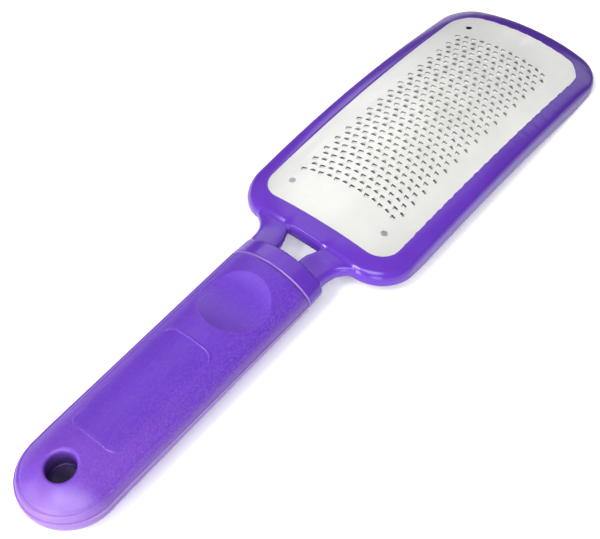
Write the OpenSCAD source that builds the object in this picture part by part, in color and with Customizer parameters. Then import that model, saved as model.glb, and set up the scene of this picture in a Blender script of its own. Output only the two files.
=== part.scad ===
// Foot file: a long rasp plate that cuts both ways, held by its edge in a moulded
// head frame. Two prongs and an oval collar join the frame to a flat tang, and two
// hollow handle shells close round the tang.
// Millimetres, +Z up, +X towards the tip, +Y to the left.
// The origin lies on the ground plane, under the middle of the resting tool.

/* [Handle] */
// Half of the handle's width
handle_half_w = 16.6; // [16:0.1:17.4]
// Height of the handle's crown above its widest line
handle_up = 9.3; // [9:0.1:9.5]
// Depth of the handle's belly below its widest line
handle_down = 10.6; // [10.2:0.1:10.9]
// Radius of the handle's rounded flanks
flank_r = 5.3; // [4.8:0.1:5.8]
// X of the handle's front face, next to the collar
handle_front_x = -26.6; // [-26.9:0.1:-26.4]
// X of the centre of the handle's round end
handle_end_x = -116.6; // [-118:0.1:-116]
// Wall thickness of both shells
shell_wall = 2.2; // [1.9:0.1:2.4]
// Height of the parting plane above the widest line, at the front
part_front = 0.1; // [0:0.1:0.3]
// Angle by which the parting plane climbs towards the round end, degrees
part_tilt = 1.0; // [0.6:0.05:1.1]

/* [Hang hole] */
// X of the hang hole
hang_x = -118.4; // [-119.4:0.1:-117.6]
// Radius of the hang hole
hang_r = 4.75; // [4.5:0.05:5]
// Width of the bevel round both mouths of the hang hole
hang_bevel = 1.5; // [1.2:0.1:1.8]

/* [Thumb dish and label panel] */
// X of the centre of the thumb dish
dish_x = -43.9; // [-45:0.1:-43]
// Half length of the thumb dish
dish_half_l = 12.2; // [11.5:0.1:12.8]
// Depth of the thumb dish
dish_depth = 2.9; // [2.4:0.1:3.1]
// X of the middle of the bare label panel
panel_x = -84.7; // [-85.5:0.1:-84]
// Length of the label panel
panel_l = 42.4; // [40:0.2:43]
// Width of the label panel
panel_w = 18.2; // [16:0.2:19]
// Depth of the label panel below the crown
panel_depth = 0.6; // [0.4:0.05:0.8]

/* [Head frame] */
// X of the head's middle
head_x = 65.9; // [65.5:0.1:66.2]
// Height of the head's middle, at the plate's upper face
head_z = 14.52; // [14.5:0.02:14.7]
// Angle by which the head dips towards the tip, degrees
head_dip = 3.8; // [3.6:0.02:3.8]
// Radius of the head's bow along its length
bow_r = 842; // [842:2:900]
// Half of the frame's width at its widest
frame_half_w = 34.6; // [34.2:0.1:34.9]
// Distance from the head's middle back to the frame's near edge
frame_back = 73.8; // [73.2:0.1:74.4]
// Distance from the head's middle to the tip
frame_tip = 69.5; // [69:0.05:70]
// Height of the frame's upper face above the plate
lip_h = 0.6; // [0.5:0.1:0.8]
// Thickness of the frame
frame_t = 7.6; // [7.2:0.1:7.7]
// Half of the window's width
window_half_w = 28.15; // [27.8:0.05:28.6]
// Distance from the head's middle back to the window's near edge
window_back = 66.1; // [65.6:0.1:66.6]
// Distance from the head's middle to the window's far edge
window_tip = 62.2; // [61.8:0.1:62.6]

/* [Neck] */
// How far the collar lies inside the handle's surface
collar_inset = 0.25; // [0.15:0.05:0.4]
// Length of the collar
collar_l = 7.3; // [6.9:0.1:7.6]
// Gap between the collar and the handle
collar_gap = 0.4; // [0.3:0.05:0.5]
// Upper side of the prongs, at the collar
prong_top = 14.9; // [14.6:0.1:15.1]
// Under side of the prongs, at the collar
prong_bottom = 10.2; // [9.8:0.1:10.4]

/* [Tang] */
// Length of the tang behind the handle's front face
tang_l = 66; // [60:1:68]
// Width of the tang
tang_w = 14; // [12:0.5:15]
// Thickness of the tang
tang_t = 5; // [4:0.5:5.5]
// Radius of the shell's locating pins
pin_r = 2.0; // [1.8:0.1:2.2]
// Radial clearance round the pins in the tang and in the sockets
pin_clear = 0.05; // [0.03:0.01:0.1]

/* [Rasp plate] */
// Thickness of the plate
plate_t = 0.5; // [0.4:0.1:0.6]
// Width of the plate's edge that the frame holds
plate_edge = 2.6; // [2:0.1:3]
// Pitch of the teeth, along and across
tooth_pitch = 3.15; // [3.1:0.01:3.2]
// Rows of teeth
tooth_rows = 31; // [25:1:31]
// Teeth in a row
tooth_cols = 13; // [11:1:13]
// Width of a tooth's opening
slot_w = 2.0; // [1.6:0.1:2.2]
// Length of a tooth's opening
slot_l = 0.9; // [0.8:0.1:1.2]
// Sweep of the rows towards the handle at one unit of pitch from the middle
row_sweep = 0.0217; // [0.018:0.0005:0.024]
// Radius of the three registration holes
reg_r = 1.2; // [1.1:0.05:1.3]

/* [Hidden] */
axis_z = handle_down;                       // the widest line runs level
eps = 0.02;
collar_back_x = handle_front_x + collar_gap;
collar_front_x = collar_back_x + collar_l;
dish_r = (dish_half_l * dish_half_l + dish_depth * dish_depth) / (2 * dish_depth);
tang_z = axis_z - 0.2;
pin_xs = [-62, -84];
rib_xs = [-34.5, -72, -99];
purple = [0.45, 0.28, 0.78];
deep_purple = [0.40, 0.24, 0.72];
steel = [0.86, 0.87, 0.85];

// ---- handle section: crown arc, flank arc and belly arc, each tangent to the next ----
flank_y = handle_half_w - flank_r;
function cap_r(h) = (flank_y * flank_y + h * h - flank_r * flank_r) / (2 * (h - flank_r));
crown_r = cap_r(handle_up);
belly_r = cap_r(handle_down);
crown_t = atan2(crown_r - handle_up, flank_y);
belly_t = atan2(belly_r - handle_down, flank_y);
function arc(c, r, t0, t1, n) = [for (i = [0:n - 1]) c + r * [cos(t0 + (t1 - t0) * i / n), sin(t0 + (t1 - t0) * i / n)]];
// the right half from the bottom to the top, drawn in by i
function half_sec(i) = concat(
    arc([0, belly_r - handle_down], belly_r - i, -90, -belly_t, 9),
    arc([flank_y, 0], flank_r - i, -belly_t, crown_t, 12),
    arc([0, handle_up - crown_r], crown_r - i, crown_t, 90, 8),
    [[0, handle_up - i]]);
function sec(i) = let (h = half_sec(i), m = len(h)) concat(h, [for (k = [m - 2:-1:1]) [-h[k][0], h[k][1]]]);

// the handle's outer form, or the same form drawn in by `inset`
module handle_form(inset, front) {
    translate([handle_end_x, 0, axis_z]) {
        rotate([90, 0, 90]) linear_extrude(front - handle_end_x) polygon(sec(inset));
        rotate([0, 0, 90]) rotate_extrude(angle = 180) polygon(half_sec(inset));
    }
}

// everything above (side = 1) or below (side = -1) the climbing parting plane
module parting_side(side) {
    translate([handle_front_x, 0, axis_z + part_front]) rotate([0, part_tilt, 0])
        translate([-130, -25, side > 0 ? 0 : -30]) cube([150, 50, 30]);
}

module handle_cavity() {
    difference() {
        handle_form(shell_wall, handle_front_x - shell_wall);
        // the dish keeps a full wall under it
        translate([dish_x, 0, axis_z + handle_up - dish_depth + dish_r]) sphere(r = dish_r + shell_wall, $fn = 96);
    }
}

module hang_bore() {
    translate([hang_x, 0, -1]) cylinder(r = hang_r, h = 30, $fn = 72);
    // rounded mouths, as bevels, cut to the crown and to the belly
    translate([hang_x, 0, axis_z + handle_up - hang_bevel - 0.2])
        cylinder(r1 = hang_r, r2 = hang_r + hang_bevel + 0.4, h = hang_bevel + 0.4, $fn = 72);
    translate([hang_x, 0, -0.2 + eps]) cylinder(r1 = hang_r + hang_bevel + 0.4, r2 = hang_r, h = hang_bevel + 0.4, $fn = 72);
}

// room for the tang, with running clearance
module tang_room(c) {
    translate([handle_front_x - tang_l - c, -tang_w / 2 - c, tang_z - tang_t / 2 - c])
        cube([tang_l + c + 5, tang_w + 2 * c, tang_t + 2 * c]);
}

// cross ribs that fill the section at their station and seat the tang
module ribs() {
    for (x = rib_xs) translate([x - 0.9, -20, 0]) cube([1.8, 40, 30]);
}

module label_cut() {
    difference() {
        translate([panel_x, 0, axis_z]) linear_extrude(20) union() {
            square([panel_l, panel_w - 6], center = true);
            square([panel_l - 6, panel_w], center = true);
            for (sx = [-1, 1], sy = [-1, 1]) translate([sx * (panel_l / 2 - 3), sy * (panel_w / 2 - 3)]) circle(r = 3, $fn = 36);
        }
        handle_form(panel_depth, handle_front_x);
    }
}

module handle_upper_shell() {
    color(purple) difference() {
        union() {
            difference() {
                intersection() { handle_form(0, handle_front_x); parting_side(1); }
                handle_cavity();
            }
            intersection() {
                handle_form(shell_wall - 0.3, handle_front_x - 0.5);
                parting_side(1);
                union() {
                    difference() { ribs(); tang_room(0.1); }
                    translate([hang_x, 0, 0]) cylinder(r = hang_r + shell_wall, h = 30, $fn = 72);
                    // sockets for the lower shell's pins, down to the tang's upper face
                    for (x = pin_xs) translate([x, 0, tang_z + tang_t / 2 + 0.1]) cylinder(r = pin_r + 1.7, h = 20, $fn = 48);
                }
            }
        }
        tang_room(0.1);
        for (x = pin_xs) translate([x, 0, 0]) cylinder(r = pin_r + pin_clear, h = tang_z + tang_t / 2 + 2.6, $fn = 48);
        translate([dish_x, 0, axis_z + handle_up - dish_depth + dish_r]) sphere(r = dish_r, $fn = 96);
        label_cut();
        hang_bore();
    }
}

module handle_lower_shell() {
    color(deep_purple) difference() {
        union() {
            difference() {
                intersection() { handle_form(0, handle_front_x); parting_side(-1); }
                handle_form(shell_wall, handle_front_x - shell_wall);
            }
            intersection() {
                handle_form(shell_wall - 0.3, handle_front_x - 0.5);
                union() {
                    difference() {
                        intersection() { ribs(); parting_side(-1); }
                        tang_room(0.1);
                    }
                    intersection() {
                        translate([hang_x, 0, 0]) cylinder(r = hang_r + shell_wall, h = 30, $fn = 72);
                        parting_side(-1);
                    }
                    // a boss under the tang, then the pin that passes through it
                    for (x = pin_xs) {
                        translate([x, 0, 0]) cylinder(r = pin_r + 1.7, h = tang_z - tang_t / 2 - 0.1, $fn = 48);
                        translate([x, 0, 0]) cylinder(r = pin_r, h = tang_z + tang_t / 2 + 2.2, $fn = 48);
                    }
                }
            }
        }
        difference() {
            tang_room(0.1);
            for (x = pin_xs) translate([x, 0, 0]) cylinder(r = pin_r, h = 30, $fn = 48);
        }
        hang_bore();
    }
}

// ---- head: outlines built from arcs that run into each other ----
// side arc centre below the axis, far arc centre on it
function circ_meet(p, rp, q, rq) =          // upper crossing of two circles
    let (d = norm(q - p), e = (q - p) / d, k = (d * d + rp * rp - rq * rq) / (2 * d), h = sqrt(rp * rp - k * k))
    p + k * e + h * [-e[1], e[0]];
function outline(back, tip, a, rs, rf, rn, rc) =
    let (S = [0, a - rs], F = [tip - rf, 0],
         C1 = circ_meet(S, rs - rc, F, rf - rc), C2 = circ_meet(F, rf - rc, S, rs - rc),
         C = C1[1] > C2[1] ? C1 : C2,
         N = [-back + rn, S[1] + sqrt(pow(rs - rn, 2) - pow(rn - back, 2))],
         tF = atan2(C[1] - F[1], C[0] - F[0]), tS = atan2(C[1] - S[1], C[0] - S[0]), tN = atan2(N[1] - S[1], N[0] - S[0]),
         up = concat(arc(F, rf, 0, tF, 5), arc(C, rc, tF, tS, 7), arc(S, rs, tS, tN, 8), arc(N, rn, tN, 180, 7), [[-back, N[1]]]),
         m = len(up))
    concat(up, [for (i = [m - 1:-1:1]) [up[i][0], -up[i][1]]]);

frame_outline = outline(frame_back, frame_tip, frame_half_w, 3500, 140, 15, 10.5);
window_outline = outline(window_back, window_tip, window_half_w, 4000, 112, 8, 8);
plate_outline = outline(window_back + plate_edge, window_tip + plate_edge, window_half_w + plate_edge, 4000, 114, 10, 10);

module head_place() { translate([head_x, 0, head_z]) rotate([0, head_dip, 0]) children(); }

// a slice of a long-radius bow between two heights at the head's middle
module bow_slice(z_hi, z_lo) {
    translate([0, 50, z_hi - bow_r]) rotate([90, 0, 0]) difference() {
        cylinder(r = bow_r, h = 100, $fn = 900);
        translate([0, 0, -1]) cylinder(r = bow_r - (z_hi - z_lo), h = 102, $fn = 900);
    }
}

function sweep_x(v, s) = tooth_pitch * (v - (tooth_rows - 1) / 2 - row_sweep * s * s + 0.07);

module tooth_opening(way) {
    // a half-moon: straight along its cutting edge, curved behind
    polygon([[way * slot_l / 2, -slot_w / 2], [way * slot_l / 2, slot_w / 2], [-way * slot_l * 0.28, slot_w * 0.32],
             [-way * slot_l / 2, 0], [-way * slot_l * 0.28, -slot_w * 0.32]]);
}

module rasp_plate() {
    color(steel) head_place() intersection() {
        translate([0, 0, -12]) linear_extrude(16) difference() {
            polygon(plate_outline);
            for (v = [0:tooth_rows - 1], c = [0:tooth_cols - 1]) {
                s = (tooth_cols - 1) / 2 + 0.25 - c - (v % 2) / 2;
                translate([sweep_x(v, s), s * tooth_pitch]) tooth_opening((c + v) % 2 == 0 ? 1 : -1);
            }
            translate([-56.8, 19.5]) circle(r = reg_r, $fn = 36);
            translate([-56.8, -19.5]) circle(r = reg_r, $fn = 36);
            translate([52, 19.5]) circle(r = reg_r, $fn = 36);
        }
        bow_slice(0, -plate_t);
    }
}

// ---- prongs: a smooth outer flare and an inner edge that narrows to the collar ----
function bez(a, b, c, d, n) = [for (i = [0:n]) let (t = i / n, u = 1 - t) u * u * u * a + 3 * u * u * t * b + 3 * u * t * t * c + t * t * t * d];
prong_back = collar_front_x - 1.5;
prong_plan = concat(
    bez([prong_back, 13.8], [-15.5, 14.4], [-11.5, 16.4], [-6.6, 22.0], 10),
    bez([-6.2, 8.9], [-10.5, 7.9], [-15, 5.2], [prong_back, 4.6], 8));

// seen from the side, the prong runs in a little below the frame's upper face
prong_side = [[prong_back, prong_bottom], [-15, prong_bottom + 0.2], [-10, prong_bottom + 0.6], [-6, prong_bottom + 0.9],
              [-6, prong_top - 0.6], [-10, prong_top - 0.5], [-15, prong_top - 0.2], [prong_back, prong_top]];

module prong() {
    intersection() {
        linear_extrude(20) polygon(prong_plan);
        translate([0, 30, 0]) rotate([90, 0, 0]) linear_extrude(60) polygon(prong_side);
    }
}

module collar() {
    translate([collar_back_x, 0, axis_z]) rotate([90, 0, 90]) {
        translate([0, 0, 0.6]) linear_extrude(collar_l - 1.6) polygon(sec(collar_inset));
        // edge steps that stand in for the moulded rounding
        linear_extrude(0.7) polygon(sec(collar_inset + 0.35));
        translate([0, 0, collar_l - 1.1]) linear_extrude(1.1) polygon(sec(collar_inset + 0.5));
    }
}

module tang() {
    difference() {
        union() {
            translate([handle_front_x - tang_l, -tang_w / 2, tang_z - tang_t / 2]) cube([tang_l + 2, tang_w, tang_t]);
            // shoulder that meets the shells' front wall
            translate([handle_front_x, -tang_w / 2 - 3, tang_z - tang_t / 2 - 3]) cube([collar_gap + 1, tang_w + 6, tang_t + 6]);
        }
        for (x = pin_xs) translate([x, 0, tang_z - tang_t]) cylinder(r = pin_r + pin_clear, h = 2 * tang_t, $fn = 48);
    }
}

module head_frame() {
    color(purple) union() {
        head_place() difference() {
            intersection() {
                translate([0, 0, -14]) linear_extrude(20) polygon(frame_outline);
                bow_slice(lip_h, lip_h - frame_t);
            }
            translate([0, 0, -20]) linear_extrude(30) polygon(window_outline);
            // the plate's edge lies in this slot
            intersection() {
                translate([0, 0, -12]) linear_extrude(16) polygon(plate_outline);
                bow_slice(0, -plate_t);
            }
        }
        prong();
        mirror([0, 1, 0]) prong();
        collar();
        tang();
    }
}

rasp_plate();
head_frame();
handle_upper_shell();
handle_lower_shell();
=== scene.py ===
import math

import bpy
import numpy as np
from mathutils import Matrix, Vector
from mathutils.geometry import delaunay_2d_cdt


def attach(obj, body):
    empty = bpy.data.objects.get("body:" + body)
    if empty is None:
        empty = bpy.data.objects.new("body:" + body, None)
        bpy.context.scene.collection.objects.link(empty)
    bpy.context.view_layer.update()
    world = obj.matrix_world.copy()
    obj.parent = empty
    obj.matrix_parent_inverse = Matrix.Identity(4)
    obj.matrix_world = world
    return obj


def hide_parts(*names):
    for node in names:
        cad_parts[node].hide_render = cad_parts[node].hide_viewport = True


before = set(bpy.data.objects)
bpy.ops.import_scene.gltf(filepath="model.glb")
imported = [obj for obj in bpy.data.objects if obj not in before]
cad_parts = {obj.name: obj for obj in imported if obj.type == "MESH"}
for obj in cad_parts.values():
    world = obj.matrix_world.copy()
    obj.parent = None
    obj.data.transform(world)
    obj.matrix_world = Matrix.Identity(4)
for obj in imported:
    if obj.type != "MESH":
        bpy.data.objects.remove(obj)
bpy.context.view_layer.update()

MM = 0.001

# ----------------------------------------------------------------------------
# measures, in millimetres, in the CAD frame: +X to the tip, +Y left, +Z up
# ----------------------------------------------------------------------------
AXIS_Z = 10.6            # the handle's widest line
HALF_W, UP, DOWN, FLANK = 16.6, 9.3, 10.6, 5.3
FRONT_X, END_X = -26.55, -116.6
HANG_X, HANG_R = -118.4, 4.75
DISH_X, DISH_Y, DISH_R, DISH_D = -43.9, -0.5, 12.0, 2.8
PANEL_X, PANEL_L, PANEL_W = -84.65, 42.4, 18.3
PART_Z, PART_TILT = 0.10, math.tan(math.radians(1.0))
HEAD_X, HEAD_Z, DIP = 65.9, 14.52, math.radians(3.8)
CD, SD = math.cos(DIP), math.sin(DIP)
PITCH = 3.15
ROWS, COLS = 31, 13
SWEEP = 0.0217


# ----------------------------------------------------------------------------
# distance fields
# ----------------------------------------------------------------------------
def rmax(a, b, r):
    """intersection of two solids with the edge between them rounded to radius r"""
    return np.minimum(np.maximum(a, b), -r) + np.hypot(np.maximum(a + r, 0.0), np.maximum(b + r, 0.0))


def smin(a, b, k):
    """union with a fillet of about k"""
    h = np.maximum(k - np.abs(a - b), 0.0) / k
    return np.minimum(a, b) - h * h * k * 0.25


def smooth(e0, e1, x):
    t = np.clip((x - e0) / (e1 - e0), 0.0, 1.0)
    return t * t * (3 - 2 * t)


FY = HALF_W - FLANK


def cap_r(h):
    return (FY * FY + h * h - FLANK * FLANK) / (2 * (h - FLANK))


RC, RB = cap_r(UP), cap_r(DOWN)


def section(q, z):
    """the handle's section: crown, flank and belly arcs, each tangent to the next; q is never negative"""
    zc, zb = UP - RC, RB - DOWN
    crown = FY * (z - zc) + zc * q > 0          # above the line from the crown's centre to the flank's
    belly = FY * (zb - z) - zb * q > 0
    dc = np.hypot(q, z - zc) - RC
    db = np.hypot(q, z - zb) - RB
    df = np.hypot(q - FY, z) - FLANK
    return np.where(crown, np.where(belly, np.maximum(dc, db), dc), np.where(belly, db, df))


def handle_q(x, y):
    y = y + 0.22 * smooth(-108.0, -120.0, x)
    return np.where(x > END_X, np.abs(y), np.hypot(x - END_X, y))


def parting(x):
    return AXIS_Z + PART_Z + PART_TILT * (FRONT_X - x)


def rounded_box(x, y, hx, hy, r):
    dx, dy = np.abs(x) - hx + r, np.abs(y) - hy + r
    return np.hypot(np.maximum(dx, 0), np.maximum(dy, 0)) + np.minimum(np.maximum(dx, dy), 0) - r


def handle_body(x, y, z, grow=0.0):
    zz = z - AXIS_Z
    q = handle_q(x, y)
    f = section(q, zz)
    up = zz > 2.0
    # thumb dish: a shallow bowl, round in plan
    rho = np.hypot(x - DISH_X, y - DISH_Y) / DISH_R
    bowl = DISH_D * np.clip(1 - rho * rho, 0, 1)
    bowl = 0.5 * (bowl - 0.06 + np.sqrt((bowl - 0.06) ** 2 + 0.012))
    f = f + np.where(up & (rho < 1.25), bowl * smooth(1.25, 1.02, rho), 0.0)
    # bare label panel
    d = rounded_box(x - PANEL_X, y - 0.1, PANEL_L / 2, PANEL_W / 2, 3.0)
    rear = smooth(-92.0, -104.0, x)
    f = f + np.where(up, (0.08 - 0.18 * rear) * smooth(0.25, -0.25, d) * smooth(-11.0, -7.0, y), 0.0)
    # with a fine raised bead round its short ends
    ends = smooth(PANEL_L / 2 - 3.0, PANEL_L / 2 - 0.8, np.abs(x - PANEL_X)) * smooth(-10.5, -8.5, y)
    f = f - np.where(up, (0.24 - 0.05 * rear) * ends * np.exp(-(((d - 0.3) / 0.26) ** 2)), 0.0)
    # crease along both sides and round the butt, where the crown ends
    lon = smooth(-88.0, -112.0, x)
    ang = np.degrees(np.arctan2(zz, np.maximum(q - FY, 1e-6)))
    g = (ang - 54.0) * (FLANK * math.pi / 180)
    groove = (0.24 + 0.02 * lon) * np.exp(-((g / (0.5 - 0.13 * lon)) ** 2)) - 0.14 * (1 - lon) * np.exp(-(((g - 1.2) / 0.6) ** 2))
    groove = groove - 0.11 * lon * np.exp(-(((g + 1.0) / 0.5) ** 2))
    f = f + np.where((q > FY) & up, groove, 0.0)
    return f - grow


def handle_upper(x, y, z):
    f = handle_body(x, y, z)
    f = rmax(f, x - FRONT_X, 0.4)
    bore = HANG_R - np.hypot(x - HANG_X, y)
    f = rmax(f, bore, 1.35)
    # it is drawn in a little towards the parting line
    f = f + 0.10 * smooth(1.3, 0.2, z - parting(x))
    return rmax(f, parting(x) + 0.02 - z, 0.15)


def handle_lower(x, y, z):
    # a fine bead runs round under the parting line
    f = handle_body(x, y, z) - 0.20 * np.exp(-(((z - parting(x) + 0.45) / 0.33) ** 2))
    f = rmax(f, x - FRONT_X, 0.4)
    hole = np.hypot(x - HANG_X, y)
    f = rmax(f, 4.35 - hole, 1.2)
    # the core that leads the tang in is closed off behind the front wall
    return rmax(f, z - parting(x) + 0.02, 0.3)


# ---- head: in the head's own frame, dipped towards the tip ----
def crowned(x, y):
    """the plate's upper face: a long bow and a slight dome"""
    return -0.000595 * x * x - 0.001623 * y * y - (0.2 + 0.00025 * x * x) * (np.abs(y) / 28.3) ** 3


def plan_outline(x, y, back, tip, a, xm, rs, rf, rn, rc):
    ay = np.abs(y)
    side = np.hypot(x - xm, ay + rs - a) - rs
    far = np.hypot(x - (tip - rf), y) - rf
    f = rmax(side, far, rc)
    return rmax(f, -back + 0.018 * y - x, rn)


def d_outer(x, y):
    y = y - 0.04
    return plan_outline(x, y, 73.85, 69.25, 34.4, -10.0, 4200.0, 140.0, 15.0, 10.2)


def d_window(x, y):
    y = y + 0.12
    wave = 0.09 * np.sin(x * 1.13 + 0.6) + 0.06 * np.sin(x * 2.03 + 1.9)
    wave = wave * smooth(4.0, 14.0, -y) * smooth(-62.0, -50.0, x)
    wave = wave + 0.10 * np.sin(y * 1.21) * smooth(52.0, 58.0, x)
    return plan_outline(x, y, 66.0, 62.2, 28.12, 20.0, 5000.0, 112.0, 8.0, 8.4) + wave


def to_head(x, z):
    dx, dz = x - HEAD_X, z - HEAD_Z
    return CD * dx - SD * dz, SD * dx + CD * dz


def from_head(xh, zh):
    return HEAD_X + CD * xh + SD * zh, HEAD_Z - SD * xh + CD * zh


def frame_ring(xh, y, zh):
    do = d_outer(xh, y)
    dw = d_window(xh, y)
    t = zh - crowned(xh, y)
    s = np.clip(dw / np.maximum(dw - do, 0.5), 0.0, 1.2)
    lip = 0.45 - 0.1 * smooth(25.0, 62.0, np.abs(xh)) - 0.2 * smooth(40.0, 60.0, xh)
    mid = smooth(10.0, 6.0, np.abs(y))               # between the prongs
    drop = (lip + 1.0 - (0.3 + 0.5 * mid) * smooth(-60.0, -69.0, xh)) * (0.55 * s + 0.45 * s * s)
    top = (t - (lip - drop)) * 0.93
    bottom = -7.7 + 0.9 * smooth(45.0, 62.0, xh) + 2.2 * smooth(-50.0, -70.0, xh) + 0.7 * smooth(-68.0, -73.0, xh) * smooth(20.0, 12.0, np.abs(y))
    f = rmax(do, top, 1.4 + 0.9 * smooth(-58.0, -68.0, xh) * (1 - 0.8 * mid) - 0.3 * smooth(40.0, 62.0, xh))
    f = rmax(f, bottom - t, 1.0)
    # it rests on its far end
    f = rmax(f, 0.05 - (HEAD_Z - SD * xh + CD * zh), 0.6)
    f = rmax(f, -dw, 0.5 - 0.2 * smooth(30.0, 58.0, xh))
    return f


def prong_edges(x):
    """inner edge at the top and outer edge of a prong at x"""
    inner = 4.05 + 0.22 * ((x + 13.9) + np.sqrt((x + 13.9) ** 2 + 1.2))
    u = np.clip((x + 19.8) / 11.6, 0.0, 1.5)
    outer = np.minimum(14.95 + 1.0 * u + 5.2 * u ** 4, 21.0)
    return inner, outer


def neck(x, y, z):
    ay = np.abs(y)
    yi, yo = prong_edges(x)
    # two rounded bars, arched across as the collar is, that run in under the frame's top
    level = 15.75 - 0.75 * smooth(-19.5, -8.5, x)
    top = z - (level - 0.016 * np.maximum(ay - 6.5, 0.0) ** 2 * (1 - 0.6 * smooth(-15.0, -8.0, x)))
    low = (10.3 - 0.05 * np.maximum(ay - 6.0, 0.0) + 0.7 * smooth(-16.0, -6.0, x)) - z
    f = rmax((ay - yo) * 0.86, (yi + 0.3 * (level - z) - ay) * 0.9, 0.5)
    f = rmax(f, top, 1.7)
    f = rmax(f, low, 0.9)
    f = np.maximum(f, x + 4.0)
    return np.maximum(f, -22.0 - x)


def collar(x, y, z):
    inset = 0.05 + 0.3 * np.clip((x + 26.2) / 7.2, 0, 1)
    f = section(np.abs(y), z - AXIS_Z) + inset
    front = x + 18.85
    back = -26.15 - x
    f = rmax(f, front, 1.0)
    f = rmax(f, back, 0.7)
    # the shoulder behind the collar, that the shells close on
    g = rmax(section(np.abs(y), z - AXIS_Z) + 2.6, np.maximum(x + 25.0, -28.2 - x), 0.3)
    return np.minimum(f, g)


def head_solid(x, y, z):
    xh, zh = to_head(x, z)
    f = frame_ring(xh, y, zh)
    near = x < 2.0
    if near.any():
        xn, yn, zn = x[near], y[near], z[near]
        n = neck(xn, yn, zn)
        c = collar(xn, yn, zn)
        g = smin(f[near], n, 0.7)
        f = f.copy()
        f[near] = smin(g, c, 0.5)
    return f


# ----------------------------------------------------------------------------
# meshes from distance fields
# ----------------------------------------------------------------------------
EDGES = [(0, 1), (2, 3), (4, 5), (6, 7), (0, 2), (1, 3), (4, 6), (5, 7), (0, 4), (1, 5), (2, 6), (3, 7)]
CORNERS = np.array([[i & 1, (i >> 1) & 1, (i >> 2) & 1] for i in range(8)])


def grad(f, p, e=0.02):
    g = np.empty_like(p)
    for k in range(3):
        d = np.zeros(3)
        d[k] = e
        a, b = p + d, p - d
        g[:, k] = f(a[:, 0], a[:, 1], a[:, 2]) - f(b[:, 0], b[:, 1], b[:, 2])
    return g / (2 * e)


def nets(f, lo, hi, h):
    """quads over the surface f = 0: one point in each crossed cell, moved onto the surface"""
    ax = [np.arange(lo[k] - 1.5 * h, hi[k] + 2.5 * h, h) for k in range(3)]
    n = [len(a) for a in ax]
    F = np.empty(n, np.float32)
    for i in range(0, n[0], 24):
        X, Y, Z = np.meshgrid(ax[0][i:i + 24], ax[1], ax[2], indexing="ij")
        F[i:i + 24] = f(X, Y, Z)
    S = F < 0
    c = np.zeros([m - 1 for m in n], np.int8)
    for a, b, d in CORNERS:
        c += S[a:n[0] - 1 + a, b:n[1] - 1 + b, d:n[2] - 1 + d]
    active = (c > 0) & (c < 8)
    cells = np.argwhere(active)
    ids = np.full(active.shape, -1, np.int32)
    ids[active] = np.arange(len(cells))
    V = np.stack([F[cells[:, 0] + a, cells[:, 1] + b, cells[:, 2] + d] for a, b, d in CORNERS], 1).astype(float)
    acc = np.zeros((len(cells), 3))
    cnt = np.zeros(len(cells))
    for a, b in EDGES:
        va, vb = V[:, a], V[:, b]
        cut = (va < 0) != (vb < 0)
        t = np.where(cut, va / np.where(cut, va - vb, 1.0), 0.0)
        p = CORNERS[a] + t[:, None] * (CORNERS[b] - CORNERS[a])
        acc += p * cut[:, None]
        cnt += cut
    P = np.array([a[0] for a in ax]) + (cells + acc / cnt[:, None]) * h
    quads = []
    for k in range(3):
        j, l = (k + 1) % 3, (k + 2) % 3
        s0 = [slice(None)] * 3
        s1 = [slice(None)] * 3
        s0[k], s1[k] = slice(0, n[k] - 1), slice(1, n[k])
        change = S[tuple(s0)] != S[tuple(s1)]
        g = np.argwhere(change)
        g = g[(g[:, j] > 0) & (g[:, l] > 0) & (g[:, j] < n[j] - 1) & (g[:, l] < n[l] - 1)]
        inside = S[g[:, 0], g[:, 1], g[:, 2]]
        around = []
        for dj, dl in ((-1, -1), (0, -1), (0, 0), (-1, 0)):
            q = g.copy()
            q[:, j] += dj
            q[:, l] += dl
            around.append(ids[q[:, 0], q[:, 1], q[:, 2]])
        quad = np.stack(around, 1)
        quad[~inside] = quad[~inside][:, ::-1]
        quads.append(quad)
    quads = np.concatenate(quads)
    home = P.copy()
    for _ in range(4):
        v = f(P[:, 0], P[:, 1], P[:, 2])
        g = grad(f, P)
        step = -(v / np.maximum((g * g).sum(1), 0.05))[:, None] * g
        ln = np.linalg.norm(step, axis=1, keepdims=True)
        P = P + step * np.minimum(1.0, 0.5 * h / np.maximum(ln, 1e-9))
        away = P - home
        ln = np.linalg.norm(away, axis=1, keepdims=True)
        P = home + away * np.minimum(1.0, 1.0 * h / np.maximum(ln, 1e-9))
    g = grad(f, P)
    N = g / np.maximum(np.linalg.norm(g, axis=1, keepdims=True), 1e-9)
    return P, quads, N


def make(name, P, faces, normals=None, smooth_shade=True):
    me = bpy.data.meshes.new(name)
    me.from_pydata((np.asarray(P) * MM).tolist(), [], [tuple(q) for q in np.asarray(faces).tolist()] if not isinstance(faces, list) else faces)
    me.update()
    if smooth_shade:
        me.shade_smooth()
        if normals is None:
            me.set_sharp_from_angle(angle=math.radians(38))
        if normals is not None:
            me.normals_split_custom_set_from_vertices(np.asarray(normals).tolist())
    ob = bpy.data.objects.new(name, me)
    bpy.context.scene.collection.objects.link(ob)
    return ob


# ----------------------------------------------------------------------------
# rasp plate: one formed tooth, repeated both ways round over the crowned plate
# ----------------------------------------------------------------------------
PLATE_T = 0.25
TOOTH_DX = -0.15
# the slot of one tooth: a half-moon with its straight side to the front, and a short leg behind it on the left
SLOT = [(0.35, -0.72), (0.36, -0.3), (0.36, 0.3), (0.35, 0.84), (0.26, 1.0), (0.08, 1.06), (-0.18, 0.99), (-0.55, 0.86), (-0.95, 0.71),
        (-1.16, 0.60), (-1.19, 0.47), (-1.06, 0.38), (-0.75, 0.46), (-0.47, 0.50), (-0.50, 0.28), (-0.50, 0.03), (-0.44, -0.26), (-0.31, -0.55), (-0.11, -0.78), (0.10, -0.88), (0.25, -0.85)]
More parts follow.
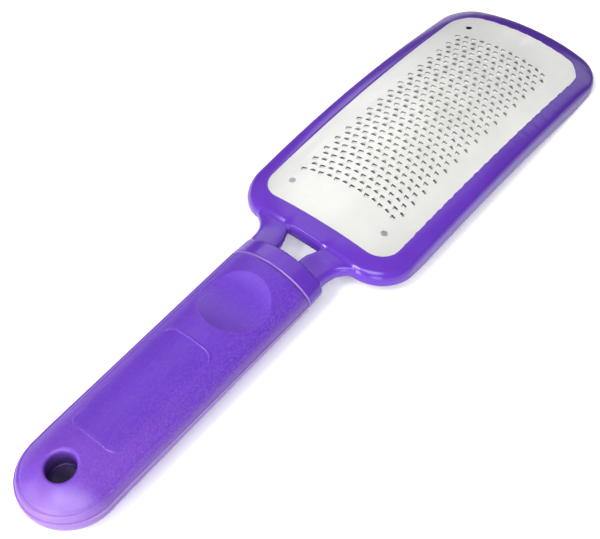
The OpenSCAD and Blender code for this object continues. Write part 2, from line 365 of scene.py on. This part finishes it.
# the teeth that face the other way have the half-moon alone
MOON = [(0.35, -0.78), (0.36, -0.35), (0.36, 0.25), (0.35, 0.78), (0.26, 0.94), (0.09, 0.99), (-0.10, 0.90), (-0.26, 0.70), (-0.36, 0.45), (-0.41, 0.20),
        (-0.41, -0.06), (-0.36, -0.32), (-0.25, -0.59), (-0.08, -0.82), (0.10, -0.92), (0.25, -0.90)]
LIFT = 0.22


def tooth_lift(u, v, high=LIFT):
    """height of the shell behind the slot: an arch across, that runs out to the back"""
    across = np.clip(1 - ((v - 0.15) / 1.03) ** 2, 0, 1) ** 0.65
    along = np.clip((u + 1.36) / 0.9, 0, 1)
    return high * across * along ** 1.35


def tooth_template(way):
    """points in the cell's own plane (x along the plate, y across, in mm), triangles, lift, and the slot's loop"""
    half = PITCH / 2
    pts, kinds = [], []
    step = PITCH / 8
    ring = [(-half + i * step, -half) for i in range(8)] + [(half, -half + i * step) for i in range(8)] + \
           [(half - i * step, half) for i in range(8)] + [(-half, half - i * step) for i in range(8)]
    shape, b0, b1 = (SLOT, 11, 18) if way > 0 else (MOON, 6, 13)      # b0 to b1: the raised edge's points
    slot = [(TOOTH_DX + way * u, v) for u, v in shape]
    if way < 0:
        slot = slot[::-1]
    pts += ring
    pts += slot
    nr, ns = len(ring), len(slot)
    S = np.array(slot)
    # rings of points round the slot, then a plain grid
    def dist_loop(p):
        best = 9.0
        for i in range(ns):
            a, b = S[i], S[(i + 1) % ns]
            t = np.clip(((p - a) @ (b - a)) / ((b - a) @ (b - a)), 0, 1)
            best = min(best, float(np.hypot(*(p - a - t * (b - a)))))
        return best
    def inside_loop(p):
        c = False
        for i in range(ns):
            a, b = S[i], S[(i + 1) % ns]
            if (a[1] > p[1]) != (b[1] > p[1]) and p[0] < (b[0] - a[0]) * (p[1] - a[1]) / (b[1] - a[1]) + a[0]:
                c = not c
        return c
    grid = []
    m = 11
    for i in range(1, m):
        for j in range(1, m):
            p = np.array([-half + PITCH * (i + (0.5 if j % 2 else 0.0) - 0.25) / m, -half + PITCH * j / m])
            if abs(p[0]) < half - 0.15 and abs(p[1]) < half - 0.15 and not inside_loop(p) and dist_loop(p) > 0.13:
                grid.append((p[0], p[1]))
    pts += grid
    edges = [(i, (i + 1) % nr) for i in range(nr)] + [(nr + i, nr + (i + 1) % ns) for i in range(ns)]
    out = delaunay_2d_cdt([Vector(p) for p in pts], edges, [], 0, 1e-6)
    V = np.array([tuple(v) for v in out[0]])
    order = [o[0] if o else -1 for o in out[3]]
    tris = []
    for f in out[2]:
        c = V[list(f)].mean(0)
        if inside_loop(c):
            continue
        a, b, c3 = V[f[0]], V[f[1]], V[f[2]]
        cr = (b[0] - a[0]) * (c3[1] - a[1]) - (b[1] - a[1]) * (c3[0] - a[0])
        tris.append(tuple(f) if cr > 0 else tuple(f)[::-1])
    place = {o: i for i, o in enumerate(order)}
    loop = [place[nr + i] for i in range(ns)]
    u = (V[:, 0] - TOOTH_DX) * way
    v = V[:, 1]
    lift = tooth_lift(u, v, LIFT if way > 0 else 0.20)
    # only the part behind the half-moon is raised: the slot's front edge and the leg's outer edge stay down
    on_back = np.zeros(len(V), bool)
    for i in range(ns):
        k = i if way > 0 else ns - 1 - i
        if b0 <= k <= b1:
            on_back[loop[i]] = True
    first = 13 if way > 0 else b0
    edge_v = [q[1] for q in shape[b1:first - 1:-1]]
    edge_u = [q[0] for q in shape[b1:first - 1:-1]]
    inner = np.zeros(len(V), bool)
    in_loop = set(loop)
    for i in range(len(V)):
        if i in in_loop:
            inner[i] = on_back[i]
        else:
            lim = np.interp(v[i], edge_v, edge_u)
            top = np.interp(u[i], [-1.4, -1.19, -1.06, -0.75, -0.47], [0.55, 0.47, 0.38, 0.46, 0.50])
            inner[i] = u[i] <= lim + 1e-6 and (v[i] <= top + 1e-6 or way < 0)
    lift = np.where(inner, lift, 0.0)
    edge = np.minimum(half - np.abs(V[:, 0]), half - np.abs(V[:, 1]))
    lift *= np.clip(edge / 0.12, 0, 1)
    # the lower edge across from the raised corner is turned down and reaches in under it
    low = V.copy()
    back = [i for i in range(ns) if on_back[loop[i]]]
    B = np.array([V[loop[i]] for i in back])
    Lb = np.array([lift[loop[i]] for i in back])
    for i in range(ns):
        if on_back[loop[i]]:
            continue
        p = V[loop[i]]
        d = np.hypot(*(B - p).T)
        near_ = int(np.argmin(d))
        if d[near_] < 1e-6:
            continue
        dirn = (B[near_] - p) / d[near_]
        low[loop[i]] = B[near_] + dirn * (0.75 * max(Lb[near_], 0.0) - 0.05)
    return V, tris, lift, loop, low


def plate_point(X, Y, t):
    """a point of the plate: X along and Y across the head from its middle, t above the upper face"""
    nx, ny = 2 * 0.000595 * X, 2 * 0.001623 * Y
    ln = np.sqrt(nx * nx + ny * ny + 1)
    x = X + t * nx / ln
    y = Y + t * ny / ln
    z = crowned(X, Y) + t / ln
    xr, zr = from_head(x, z)
    return np.stack([xr, y, zr], -1)


ROW0 = -47.25            # first row from the head's middle


def lattice(v, s):
    """(row, column place) to plate X, Y; the rows sweep back towards the handle at the sides"""
    return ROW0 + PITCH * (v - SWEEP * s * s + 0.07), PITCH * s - 0.15


def build_plate():
    V, T, walls = [], [], []
    templates = {w: tooth_template(w) for w in (1, -1)}
    shared = {}              # the cells' border points, by their place in eighths of the pitch
    half = PITCH / 2
    for v in range(ROWS):
        for c in range(COLS):
            s = 6.25 - c - 0.5 * (v % 2)
            tv, tt, tl, loop, tlow = templates[1 if (c + v) % 2 == 0 else -1]
            X, Y = lattice(v + tv[:, 0] / PITCH, s + tv[:, 1] / PITCH)
            XL, YL = lattice(v + tlow[:, 0] / PITCH, s + tlow[:, 1] / PITCH)
            ids = []
            for i in range(len(tv)):
                if max(abs(tv[i, 0]), abs(tv[i, 1])) > half - 1e-4:
                    key = (round(8 * (v + tv[i, 0] / PITCH)), round(8 * (s + tv[i, 1] / PITCH)))
                    if key not in shared:
                        shared[key] = len(V)
                        V.append((X[i], Y[i], 0.0, X[i], Y[i]))
                    ids.append(shared[key])
                else:
                    ids.append(len(V))
                    V.append((X[i], Y[i], tl[i], XL[i], YL[i]))
            T += [tuple(ids[i] for i in t) for t in tt]
            n = len(loop)
            walls += [(ids[loop[i]], ids[loop[(i + 1) % n]]) for i in range(n)]
    return np.array(V), T, walls


def rim_loop(steps=10):
    """the plate's own outline, a little inside the frame's wall"""
    out = []
    n = 220
    # walk round the window outline by angle from the middle, at 1.2 mm beyond the wall
    for i in range(n):
        a = 2 * math.pi * i / n
        lo, hi = 5.0, 90.0
        for _ in range(40):
            m = 0.5 * (lo + hi)
            if d_window(np.array(m * math.cos(a)), np.array(m * math.sin(a))) < 1.2:
                lo = m
            else:
                hi = m
        out.append((lo * math.cos(a), lo * math.sin(a)))
    return out


def plate_mesh():
    V, T, walls = build_plate()
    # outer border of the block of cells
    count = {}
    for t in T:
        for a, b in ((t[0], t[1]), (t[1], t[2]), (t[2], t[0])):
            count[(a, b)] = count.get((a, b), 0) + 1
    wallset = set(walls) | set((b, a) for a, b in walls)
    border = [(a, b) for (a, b) in count if (b, a) not in count and (a, b) not in wallset]
    # the rest of the plate, between the block and the outline
    used = sorted(set(i for e in border for i in e))
    place = {o: i for i, o in enumerate(used)}
    pts = [Vector((V[i][0], V[i][1])) for i in used]
    edges = [(place[b], place[a]) for a, b in border]
    rim = rim_loop()
    r0 = len(pts)
    pts += [Vector(p) for p in rim]
    edges += [(r0 + i, r0 + (i + 1) % len(rim)) for i in range(len(rim))]
    holes = []
    for hx, hy in ((-56.8, 19.35), (-56.8, -19.95), (51.95, 19.5)):
        h0 = len(pts)
        m = 36
        pts += [Vector((hx + 1.2 * math.cos(2 * math.pi * i / m), hy + 1.2 * math.sin(2 * math.pi * i / m))) for i in range(m)]
        edges += [(h0 + i, h0 + (i + 1) % m) for i in range(m)]
        holes.append((hx, hy, h0, m))
    gx = np.arange(-66, 64, 2.6)
    gy = np.arange(-28.6, 28.8, 2.6)
    block = np.array([[V[a][0], V[a][1]] for a, b in border])
    for i, x in enumerate(gx):
        for y in gy + (1.3 if i % 2 else 0):
            if float(d_window(np.array(x), np.array(y))) > 0.3:
                continue
            xv = x - ROW0
            s = (y + 0.15) / PITCH
            row = xv / PITCH + SWEEP * s * s - 0.07
            if -1.0 < row < ROWS and abs(s) < 7.25:
                continue
            if any(math.hypot(x - h[0], y - h[1]) < 2.0 for h in holes):
                continue
            pts.append(Vector((x, y)))
    out = delaunay_2d_cdt(pts, edges, [], 0, 1e-7)
    W = np.array([tuple(v) for v in out[0]])
    order = [o[0] if o else -1 for o in out[3]]
    base = len(V)
    remap = []
    extra = []
    for i, o in enumerate(order):
        if 0 <= o < r0:
            remap.append(used[o])
        else:
            remap.append(base + len(extra))
            extra.append((W[i][0], W[i][1], 0.0, W[i][0], W[i][1]))
    loops = {}
    back = {o: i for i, o in enumerate(order)}
    # which triangles lie in the block of cells: flood by the block's own test
    segs = np.array([[V[a][0], V[a][1], V[b][0], V[b][1]] for a, b in border])

    def in_block(p):
        p = (p[0] + 0.00137, p[1] + 0.00071)
        x1, y1, x2, y2 = segs.T
        m = (y1 > p[1]) != (y2 > p[1])
        xi = (x2 - x1) * (p[1] - y1) / np.where(m, y2 - y1, 1) + x1
        return (m & (p[0] < xi)).sum() % 2 == 1

    for f in out[2]:
        c = W[list(f)].mean(0)
        if float(d_window(np.array(c[0]), np.array(c[1]))) > 1.19 or in_block(c):
            continue
        if any(math.hypot(c[0] - h[0], c[1] - h[1]) < 1.2 * math.cos(math.pi / 36) for h in holes):
            continue
        a, b, d = W[f[0]], W[f[1]], W[f[2]]
        cr = (b[0] - a[0]) * (d[1] - a[1]) - (b[1] - a[1]) * (d[0] - a[0])
        t = tuple(remap[i] for i in f)
        T.append(t if cr > 0 else t[::-1])
    V = np.concatenate([V, np.array(extra)]) if extra else V
    # upper and lower faces, then walls along every open edge
    top = plate_point(V[:, 0], V[:, 1], V[:, 2])
    low = plate_point(V[:, 3], V[:, 4], V[:, 2] - PLATE_T)
    n = len(V)
    count = set()
    for t in T:
        count.update(((t[0], t[1]), (t[1], t[2]), (t[2], t[0])))
    open_edges = [(a, b) for a, b in count if (b, a) not in count]
    faces = [t for t in T] + [(t[2] + n, t[1] + n, t[0] + n) for t in T]
    sides = [(b, a, a + n, b + n) for a, b in open_edges]
    slotset = set(walls) | set((b, a) for a, b in walls)
    slot_shade_faces = [len(faces) + i for i, (a, b) in enumerate(open_edges) if (a, b) in slotset]
    return np.concatenate([top, low]), faces + sides, slot_shade_faces


# ----------------------------------------------------------------------------
# pieces
# ----------------------------------------------------------------------------
H_HANDLE, H_HEAD = 0.4, 0.385

P, Q, N = nets(handle_upper, (-133.3, -16.7, 10.4), (-26.9, 16.7, 20.0), H_HANDLE)
upper = make("handle_upper_shell_form", P, Q, N)
P, Q, N = nets(handle_lower, (-133.3, -16.7, -0.1), (-26.9, 16.7, 12.9), H_HANDLE)
lower = make("handle_lower_shell_form", P, Q, N)
P, Q, N = nets(head_solid, (-28.3, -34.4, -0.1), (134.4, 34.4, 20.4), H_HEAD)
head = make("head_frame_form", P, Q, N)
P, F, SLOT_SHADE_FACES = plate_mesh()
plate = make("rasp_plate_form", P, F, None)

for ob, node, slot in ((upper, "handle_upper_shell", "handle_matte"), (lower, "handle_lower_shell", "handle_matte"),
                       (head, "head_frame", "frame_gloss"), (plate, "rasp_plate", "plate_steel")):
    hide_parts(node)
    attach(ob, "root")


# ----------------------------------------------------------------------------
# materials
# ----------------------------------------------------------------------------
def srgb(r, g, b):
    return tuple((c / 12.92 if c <= 0.04045 else ((c + 0.055) / 1.055) ** 2.4) for c in (r / 255, g / 255, b / 255)) + (1.0,)


def new_material(name):
    m = bpy.data.materials.new(name)
    m.use_nodes = True
    return m, m.node_tree.nodes, m.node_tree.links, m.node_tree.nodes["Principled BSDF"]


def coords(nodes, links, scale=(1, 1, 1)):
    g = nodes.new("ShaderNodeTexCoord")
    mp = nodes.new("ShaderNodeMapping")
    mp.inputs["Scale"].default_value = scale
    links.new(g.outputs["Object"], mp.inputs["Vector"])
    return mp.outputs["Vector"]


def noise(nodes, links, vec, scale, detail=3.0, rough=0.55):
    n = nodes.new("ShaderNodeTexNoise")
    n.inputs["Scale"].default_value = scale
    n.inputs["Detail"].default_value = detail
    n.inputs["Roughness"].default_value = rough
    links.new(vec, n.inputs["Vector"])
    return n.outputs["Fac"]


def remap(nodes, links, fac, lo, hi, f0=0.3, f1=0.7):
    m = nodes.new("ShaderNodeMapRange")
    m.inputs["From Min"].default_value = f0
    m.inputs["From Max"].default_value = f1
    m.inputs["To Min"].default_value = lo
    m.inputs["To Max"].default_value = hi
    links.new(fac, m.inputs["Value"])
    return m.outputs["Result"]


def mix_color(nodes, links, fac, a, b):
    m = nodes.new("ShaderNodeMix")
    m.data_type = "RGBA"
    m.inputs["A"].default_value = a
    m.inputs["B"].default_value = b
    links.new(fac, m.inputs["Factor"])
    return m.outputs["Result"]


def mix_soft(nodes, links, fac, under, over):
    """over laid on under, both colour sockets or plain colours"""
    m = nodes.new("ShaderNodeMix")
    m.data_type = "RGBA"
    links.new(fac, m.inputs["Factor"])
    links.new(under, m.inputs["A"])
    m.inputs["B"].default_value = over
    return m.outputs["Result"]


def bump(nodes, links, height, strength, distance):
    b = nodes.new("ShaderNodeBump")
    b.inputs["Strength"].default_value = strength
    b.inputs["Distance"].default_value = distance
    links.new(height, b.inputs["Height"])
    return b.outputs["Normal"]


FRONT_A, FRONT_B = (0.087, 0.022, 0.345, 1), (0.100, 0.028, 0.382, 1)     # the handle towards the head
REAR_SHEEN_A, REAR_SHEEN_B = (0.116, 0.036, 0.355, 1), (0.136, 0.044, 0.400, 1)       # towards the butt, paler: a painted sheen for the stronger light on the butt's half
PANEL_TONE = (0.078, 0.019, 0.345, 1)
# painted reflection of the pale floor on the steep flanks
FLANK_PAINTED_REFLECTION = (0.138, 0.072, 0.305, 1)
# painted shade inside the hang hole
BORE_PAINTED_SHADE = (0.030, 0.008, 0.100, 1)
# painted highlight for small lit roundings: the collar's back edge and the bead under the parting line
PAINTED_EDGE_HIGHLIGHT = (0.330, 0.215, 0.540, 1)
# painted sheen: the butt's end painted pale
BUTT_PAINTED_SHEEN = (0.250, 0.145, 0.380, 1)
# painted shade: the frame darker towards the tip
FAR_PAINTED_SHADE = (0.070, 0.026, 0.250, 1)
FRAME_A, FRAME_B = (0.090, 0.026, 0.340, 1), (0.104, 0.033, 0.374, 1)
SPECK = (0.30, 0.17, 0.58, 1)


def calc(nodes, links, op, a, b=None):
    """a Math node; a and b are sockets or numbers"""
    m = nodes.new("ShaderNodeMath")
    m.operation = op
    for i, x in enumerate((a, b)):
        if x is None:
            continue
        if isinstance(x, (int, float)):
            m.inputs[i].default_value = x
        else:
            links.new(x, m.inputs[i])
    return m.outputs["Value"]


def purple_gloss():
    m, n, l, p = new_material("frame_gloss_plastic")
    v = coords(n, l)
    wide = noise(n, l, v, 60.0, 3.0)
    tone = mix_color(n, l, remap(n, l, wide, 0.0, 1.0), FRAME_A, FRAME_B)
    axes = n.new("ShaderNodeSeparateXYZ")
    l.new(v, axes.inputs["Vector"])
    # painted shade: the frame is painted darker towards the tip, where its rims face away from the light
    tone = mix_soft(n, l, remap(n, l, axes.outputs["X"], 0.0, 1.0, 0.035, 0.125), tone, FAR_PAINTED_SHADE)
    # painted highlight: a pale line is painted along the collar's back edge, where its rounding catches the light
    l.new(mix_soft(n, l, remap(n, l, axes.outputs["X"], 0.0, 0.55, -0.02548, -0.02588), tone, PAINTED_EDGE_HIGHLIGHT), p.inputs["Base Color"])
    fine = noise(n, l, v, 900.0, 2.0)
    l.new(remap(n, l, fine, 0.15, 0.21), p.inputs["Roughness"])
    l.new(bump(n, l, noise(n, l, v, 90.0, 2.0), 0.06, 0.0002), p.inputs["Normal"])
    p.inputs["IOR"].default_value = 1.5
    p.inputs["Specular IOR Level"].default_value = 0.35
    return m


def purple_matte():
    """moulded plastic with a fine grain: smoother in the label panel, more speckled on the steep sides, and painted
    paler towards the butt and on the steep sides, which is painted sheen and painted reflection
    """
    m, n, l, p = new_material("handle_matte_plastic")
    v = coords(n, l)
    axes = n.new("ShaderNodeSeparateXYZ")
    l.new(v, axes.inputs["Vector"])
    x, y = axes.outputs["X"], axes.outputs["Y"]
    wide = remap(n, l, noise(n, l, v, 45.0, 4.0), 0.0, 1.0)
    front = mix_color(n, l, wide, FRONT_A, FRONT_B)
    rear = mix_color(n, l, wide, REAR_SHEEN_A, REAR_SHEEN_B)
    # painted sheen: the tone turns paler from the front half to the rear half
    mx = n.new("ShaderNodeMix")
    mx.data_type = "RGBA"
    l.new(remap(n, l, x, 0.0, 1.0, -0.058, -0.118), mx.inputs["Factor"])
    l.new(front, mx.inputs["A"])
    l.new(rear, mx.inputs["B"])
    body = mx.outputs["Result"]
    # the label panel's smooth field
    dx = calc(n, l, "SUBTRACT", calc(n, l, "ABSOLUTE", calc(n, l, "ADD", x, -PANEL_X * MM)), PANEL_L / 2 * MM)
    dy = calc(n, l, "SUBTRACT", calc(n, l, "ABSOLUTE", y), PANEL_W / 2 * MM)
    field = remap(n, l, calc(n, l, "MAXIMUM", dx, dy), 1.0, 0.0, -0.0006, 0.0002)
    field = calc(n, l, "MULTIPLY", field, remap(n, l, axes.outputs["Z"], 0.0, 1.0, 0.0150, 0.0165))
    body = mix_soft(n, l, calc(n, l, "MULTIPLY", field, 0.4), body, PANEL_TONE)
    # painted reflection: the flanks under the crease are painted greyer and paler, for the pale floor's reflection at
    # grazing angles
    steep = remap(n, l, calc(n, l, "ABSOLUTE", y), 0.0, 1.0, 0.0146, 0.0160)
    body = mix_soft(n, l, calc(n, l, "MULTIPLY", steep, 0.8), body, FLANK_PAINTED_REFLECTION)
    # painted highlight: the bead under the parting line is painted paler, where its rounded top catches the light
    line = calc(n, l, "ADD", axes.outputs["Z"], calc(n, l, "MULTIPLY", x, PART_TILT))
    off = calc(n, l, "ABSOLUTE", calc(n, l, "SUBTRACT", line, (AXIS_Z + PART_Z + PART_TILT * FRONT_X - 0.36) * MM))
    body = mix_soft(n, l, calc(n, l, "MULTIPLY", steep, remap(n, l, off, 0.75, 0.0, 0.00012, 0.00042)), body, PAINTED_EDGE_HIGHLIGHT)
    # painted sheen: the butt's end is painted pale lilac, for the gloss and strong light on it
    butt = calc(n, l, "ADD", x, calc(n, l, "MULTIPLY", y, 0.5))
    body = mix_soft(n, l, remap(n, l, butt, 0.0, 0.7, -0.1235, -0.1335), body, BUTT_PAINTED_SHEEN)
    speck = remap(n, l, noise(n, l, v, 1500.0, 3.0, 0.65), 0.0, 1.0, 0.46, 0.80)
    amount = remap(n, l, calc(n, l, "ABSOLUTE", y), 0.10, 0.34, 0.004, 0.014)
    body = mix_soft(n, l, calc(n, l, "MULTIPLY", speck, amount), body, SPECK)
    streak = noise(n, l, coords(n, l, (260, 1500, 700)), 1.0, 3.0, 0.6)
    body = mix_soft(n, l, calc(n, l, "MULTIPLY", remap(n, l, streak, 0.0, 1.0, 0.45, 0.8), 0.07), body, SPECK)
    scuff = noise(n, l, coords(n, l, (420, 150, 300)), 1.0, 4.0, 0.7)
    body = mix_soft(n, l, calc(n, l, "MULTIPLY", remap(n, l, scuff, 0.0, 1.0, 0.66, 0.76), 0.12), body, SPECK)
    # painted shade: the bore's wall is painted darker, most deep down, where little light reaches
    out = calc(n, l, "ADD", calc(n, l, "POWER", calc(n, l, "ADD", x, -HANG_X * MM), 2.0), calc(n, l, "POWER", y, 2.0))
    bore = remap(n, l, out, 1.0, 0.0, (0.0049) ** 2, (0.0053) ** 2)
    body = mix_soft(n, l, calc(n, l, "MULTIPLY", bore, remap(n, l, axes.outputs["Z"], 1.0, 0.3, 0.0140, 0.0180)), body, BORE_PAINTED_SHADE)
    l.new(body, p.inputs["Base Color"])
    fine = noise(n, l, v, 1500.0, 3.0)
    l.new(remap(n, l, fine, 0.33, 0.43), p.inputs["Roughness"])
    grain = calc(n, l, "ADD", fine, calc(n, l, "MULTIPLY", streak, 0.6))
    l.new(bump(n, l, grain, 0.22, 0.0001), p.inputs["Normal"])
    p.inputs["IOR"].default_value = 1.5
    p.inputs["Specular IOR Level"].default_value = 0.35
    return m


def steel():
    m, n, l, p = new_material("plate_satin_steel")
    v = coords(n, l)
    grain = noise(n, l, coords(n, l, (60, 1500, 300)), 1.0, 3.0)
    tone = mix_color(n, l, remap(n, l, noise(n, l, v, 80.0, 3.0), 0.0, 1.0), (0.80, 0.80, 0.775, 1), (0.86, 0.86, 0.835, 1))
    # painted reflection: the steel is painted a little brighter at the tip, and greyer along its left side and at the
    # tip's right corner, following where the plate's reflection of the lights is brighter or darker
    axes = n.new("ShaderNodeSeparateXYZ")
    l.new(v, axes.inputs[0])
    tone = mix_soft(n, l, remap(n, l, axes.outputs["X"], 0.0, 1.0, 0.113, 0.124), tone, (0.96, 0.96, 0.94, 1))
    left = calc(n, l, "MULTIPLY", remap(n, l, axes.outputs["Y"], 0.0, 1.0, 0.006, 0.029), remap(n, l, axes.outputs["X"], 0.55, 1.0, 0.005, 0.035))
    tone = mix_soft(n, l, left, tone, (0.655, 0.655, 0.645, 1))
    corner = calc(n, l, "MULTIPLY", remap(n, l, axes.outputs["Y"], 1.0, 0.0, -0.026, -0.002), remap(n, l, axes.outputs["X"], 0.0, 1.0, 0.075, 0.125))
    l.new(mix_soft(n, l, corner, tone, (0.67, 0.67, 0.655, 1)), p.inputs["Base Color"])
    p.inputs["Metallic"].default_value = 1.0
    l.new(remap(n, l, grain, 0.42, 0.52), p.inputs["Roughness"])
    l.new(bump(n, l, grain, 0.15, 0.00005), p.inputs["Normal"])
    return m


def slot_walls_painted_shade():
    """the torn walls of the slots, dull, painted near-black as painted shade for the view down into the slots, and
    painted lighter towards the middle of the plate, a painted glow of light from beneath
    """
    m, n, l, p = new_material("slot_wall_painted_shade")
    v = coords(n, l)
    d = n.new("ShaderNodeVectorMath")
    d.operation = "DISTANCE"
    d.inputs[1].default_value = (0.066, -0.006, 0.0145)
    l.new(v, d.inputs[0])
    tone = mix_color(n, l, noise(n, l, v, 2500.0, 2.0), (0.03, 0.029, 0.028, 1), (0.07, 0.068, 0.064, 1))
    pale = mix_color(n, l, noise(n, l, v, 1900.0, 2.0), (0.09, 0.088, 0.084, 1), (0.22, 0.215, 0.205, 1))
    mx = n.new("ShaderNodeMix")
    mx.data_type = "RGBA"
    l.new(remap(n, l, d.outputs["Value"], 1.0, 0.0, 0.016, 0.048), mx.inputs["Factor"])
    l.new(tone, mx.inputs["A"])
    l.new(pale, mx.inputs["B"])
    l.new(mx.outputs["Result"], p.inputs["Base Color"])
    p.inputs["Metallic"].default_value = 0.2
    p.inputs["Roughness"].default_value = 0.7
    p.inputs["Specular IOR Level"].default_value = 0.25
    return m


upper.data.materials.append(purple_matte())
lower.data.materials.append(upper.data.materials[0])
head.data.materials.append(purple_gloss())
plate.data.materials.append(steel())
plate.data.materials.append(slot_walls_painted_shade())
# the slots' walls take the painted shade
for i in SLOT_SHADE_FACES:
    plate.data.polygons[i].material_index = 1

# ----------------------------------------------------------------------------
# floor, light and camera
# ----------------------------------------------------------------------------
floor_me = bpy.data.meshes.new("floor")
k = 3.0
floor_me.from_pydata([(-k, -k, 0), (k, -k, 0), (k, k, 0), (-k, k, 0)], [], [(0, 1, 2, 3)])
floor = bpy.data.objects.new("floor", floor_me)
bpy.context.scene.collection.objects.link(floor)
floor.location.z = -0.0002
fm, fn, fl, fp = new_material("pale_floor")
fp.inputs["Base Color"].default_value = (0.9, 0.9, 0.9, 1)
fp.inputs["Emission Color"].default_value = (1, 1, 1, 1)
fp.inputs["Emission Strength"].default_value = 0.14
fp.inputs["Roughness"].default_value = 0.9
fp.inputs["Specular IOR Level"].default_value = 0.2
floor_me.materials.append(fm)

world = bpy.data.worlds.new("studio")
bpy.context.scene.world = world
world.use_nodes = True
world.node_tree.nodes["Background"].inputs["Color"].default_value = (1, 1, 1, 1)
world.node_tree.nodes["Background"].inputs["Strength"].default_value = 0.02


def softbox(name, at, look, size, power):
    d = bpy.data.lights.new(name, "AREA")
    d.shape = "RECTANGLE"
    d.size, d.size_y = size
    d.energy = power
    o = bpy.data.objects.new(name, d)
    bpy.context.scene.collection.objects.link(o)
    o.location = at
    o.rotation_euler = (Vector(look) - Vector(at)).to_track_quat("-Z", "Y").to_euler()
    return o


# round lights on a ring: the strong ones over and low beside the handle, weak ones all round
for elevation, azimuth, power, width in ((55, 0, 0.9, 0.55), (55, 45, 1.1, 0.55), (57, 120, 1.6, 0.22), (55, 182, 5.4, 0.26), (55, 228, 7.9, 0.60),
                                         (28, 0, 1.4, 0.55), (28, 45, 1.8, 0.55), (28, 135, 2.2, 0.35), (28, 180, 2.4, 0.35),
                                         (12, 180, 5.8, 0.45), (12, 225, 2.8, 0.45)):
    e, a = math.radians(elevation), math.radians(azimuth)
    at = (1.1 * math.cos(e) * math.cos(a), 1.1 * math.cos(e) * math.sin(a), 1.1 * math.sin(e))
    o = softbox("light_%02d_%03d" % (elevation, azimuth), at, (0, 0, 0), (width, width), power)
    o.data.shape = "DISK"

cam_data = bpy.data.cameras.new("camera")
cam = bpy.data.objects.new("camera", cam_data)
bpy.context.scene.collection.objects.link(cam)
cam_data.sensor_fit = "HORIZONTAL"
cam_data.sensor_width = 36.0
cam_data.lens = 36.0 * 1163.61 / 600.0
cam_data.clip_start = 0.02
cam_data.clip_end = 20.0
TURN = -0.0014           # about the middle of the head
yaw, pitch = 0.68712 + TURN, 0.85554
fwd = np.array([math.cos(yaw) * math.cos(pitch), math.sin(yaw) * math.cos(pitch), -math.sin(pitch)])
right = np.cross(fwd, [0, 0, 1.0])
right /= np.linalg.norm(right)
down = np.cross(fwd, right)


def turn(v):
    return Vector((CD * v[0] + SD * v[2], v[1], -SD * v[0] + CD * v[2]))


r_, u_, b_ = turn(right), -turn(down), -turn(fwd)
place = Matrix(((r_.x, u_.x, b_.x, 0), (r_.y, u_.y, b_.y, 0), (r_.z, u_.z, b_.z, 0), (0, 0, 0, 1)))
X0, Y0, Z0 = -228.963, -163.941, 279.333
X0, Y0 = 47.25 + (X0 - 47.25) * math.cos(TURN) - Y0 * math.sin(TURN), (X0 - 47.25) * math.sin(TURN) + Y0 * math.cos(TURN)
place.translation = Vector(((-26.8 + CD * (X0 + 45) + SD * (Z0 + 10.05)) * MM, (Y0 - 0.15) * MM, (10.6 - SD * (X0 + 45) + CD * (Z0 + 10.05)) * MM))
cam.matrix_world = place
bpy.context.scene.camera = cam

sc = bpy.context.scene
sc.view_settings.view_transform = "Standard"
sc.view_settings.look = "None"
